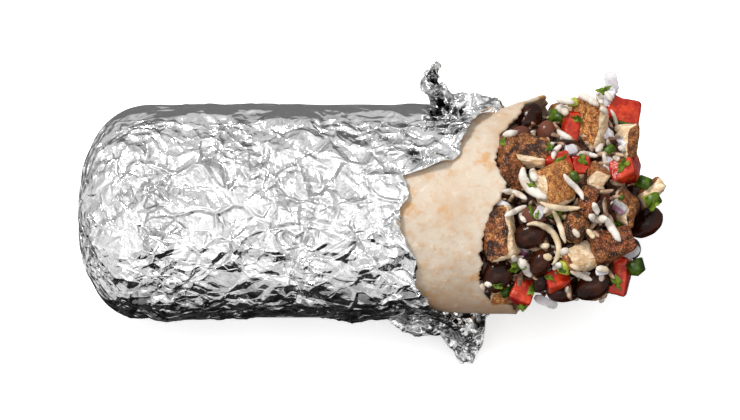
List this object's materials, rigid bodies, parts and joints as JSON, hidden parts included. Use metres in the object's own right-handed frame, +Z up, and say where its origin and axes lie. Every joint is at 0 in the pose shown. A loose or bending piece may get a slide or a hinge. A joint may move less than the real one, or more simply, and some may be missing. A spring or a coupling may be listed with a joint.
{
  "type": "foil-wrapped burrito",
  "caption": "Burrito lying on its side in crumpled foil, its open end showing a heap of chicken, rice, beans, tomato and herbs.",
  "frame": {"origin": "centre of the bounding box, on the surface it lies on", "axes": "+X along the roll towards its open end, +Z up"},
  "size_m": [0.2031, 0.0916, 0.0652],
  "materials": {
    "foil": "crumpled, bright",
    "tortilla": "soft matt flour dough, toasted in spots",
    "filling": "moist mixed rice",
    "chicken": "seared outside, pale cut faces",
    "tomato": "wet, glossy",
    "bean": "smooth, glossy skin"
  },
  "bodies": {
    "root": {"foil_wrap": "foil", "tortilla": "tortilla", "filling": "filling", "chicken_01": "chicken", "chicken_02": "chicken", "chicken_03": "chicken", "chicken_04": "chicken", "chicken_05": "chicken", "chicken_06": "chicken", "chicken_07": "chicken", "chicken_08": "chicken", "chicken_09": "chicken", "chicken_10": "chicken", "chicken_11": "chicken", "chicken_12": "chicken", "chicken_13": "chicken", "chicken_14": "chicken", "chicken_15": "chicken", "chicken_16": "chicken", "chicken_17": "chicken", "chicken_18": "chicken", "chicken_19": "chicken", "tomato_01": "tomato", "tomato_02": "tomato", "tomato_03": "tomato", "tomato_04": "tomato", "tomato_05": "tomato", "tomato_06": "tomato", "tomato_07": "tomato", "tomato_08": "tomato", "tomato_09": "tomato", "tomato_10": "tomato", "tomato_11": "tomato", "bean_01": "bean", "bean_02": "bean", "bean_03": "bean", "bean_04": "bean", "bean_05": "bean", "bean_06": "bean", "bean_07": "bean", "bean_08": "bean", "bean_09": "bean", "bean_10": "bean", "bean_11": "bean", "bean_12": "bean", "bean_13": "bean", "bean_14": "bean", "bean_15": "bean", "bean_16": "bean", "bean_17": "bean", "bean_18": "bean"}
  },
  "joints": []
}
